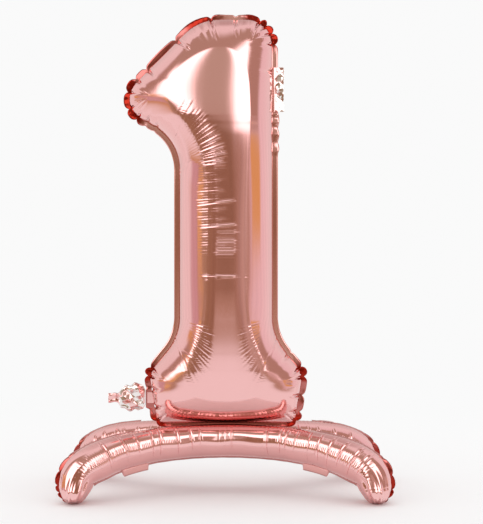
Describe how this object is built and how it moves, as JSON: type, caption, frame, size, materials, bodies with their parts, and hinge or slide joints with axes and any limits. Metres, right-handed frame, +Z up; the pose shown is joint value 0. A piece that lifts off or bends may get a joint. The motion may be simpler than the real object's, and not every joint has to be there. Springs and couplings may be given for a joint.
{
  "type": "standing foil number balloon",
  "caption": "Inflated foil balloon in the shape of the numeral one, standing on a base of arched tubular legs, with filling necks, sealed margins and a hanging tab.",
  "frame": {"origin": "on the floor under the middle of the base, the bottom centre of the whole", "axes": "+Z is up, -Y is the front of the number, +X is the viewer's right when the number is read from the front"},
  "size_m": [0.55, 0.3, 0.8],
  "materials": {
    "rose_film": "mirror-bright metallised film",
    "silver_film": "mirror-bright metallised film",
    "clear_film": "glossy clear film"
  },
  "bodies": {
    "base": {"front_leg_front_film": "rose_film", "front_leg_rear_film": "rose_film", "front_leg_seal_margin": "rose_film", "rear_leg_front_film": "rose_film", "rear_leg_rear_film": "rose_film", "rear_leg_seal_margin": "rose_film", "leg_tie_weld": "rose_film", "base_neck_upper_film": "rose_film", "base_neck_lower_film": "rose_film", "base_valve_front_film": "clear_film", "base_valve_rear_film": "clear_film"},
    "number": {"number_front_film": "rose_film", "number_rear_film": "rose_film", "number_seal_margin": "rose_film", "number_hanger_strip": "rose_film", "number_valve_front_film": "clear_film", "number_valve_rear_film": "clear_film"},
    "neck": {"neck_front_film": "silver_film", "neck_rear_film": "silver_film"},
    "tab": {"hanging_tab": "silver_film"}
  },
  "joints": [
    {"name": "number_sway", "type": "hinge", "parent": "base", "child": "number", "pos_m": [0, 0, 0.1], "axis": [1, 0, 0], "range_deg": [-2, 2], "stiffness_Nm_per_rad": 1.2},
    {"name": "neck_flap", "type": "hinge", "parent": "number", "child": "neck", "pos_m": [-0.1367, 0, 0.1548], "axis": [0, 0, 1], "range_deg": [-40, 40], "stiffness_Nm_per_rad": 0.002},
    {"name": "tab_flap", "type": "hinge", "parent": "number", "child": "tab", "pos_m": [0.0793, -0.0029, 0.672], "axis": [0, 0, -1], "range_deg": [0, 80], "stiffness_Nm_per_rad": 0.0005}
  ]
}
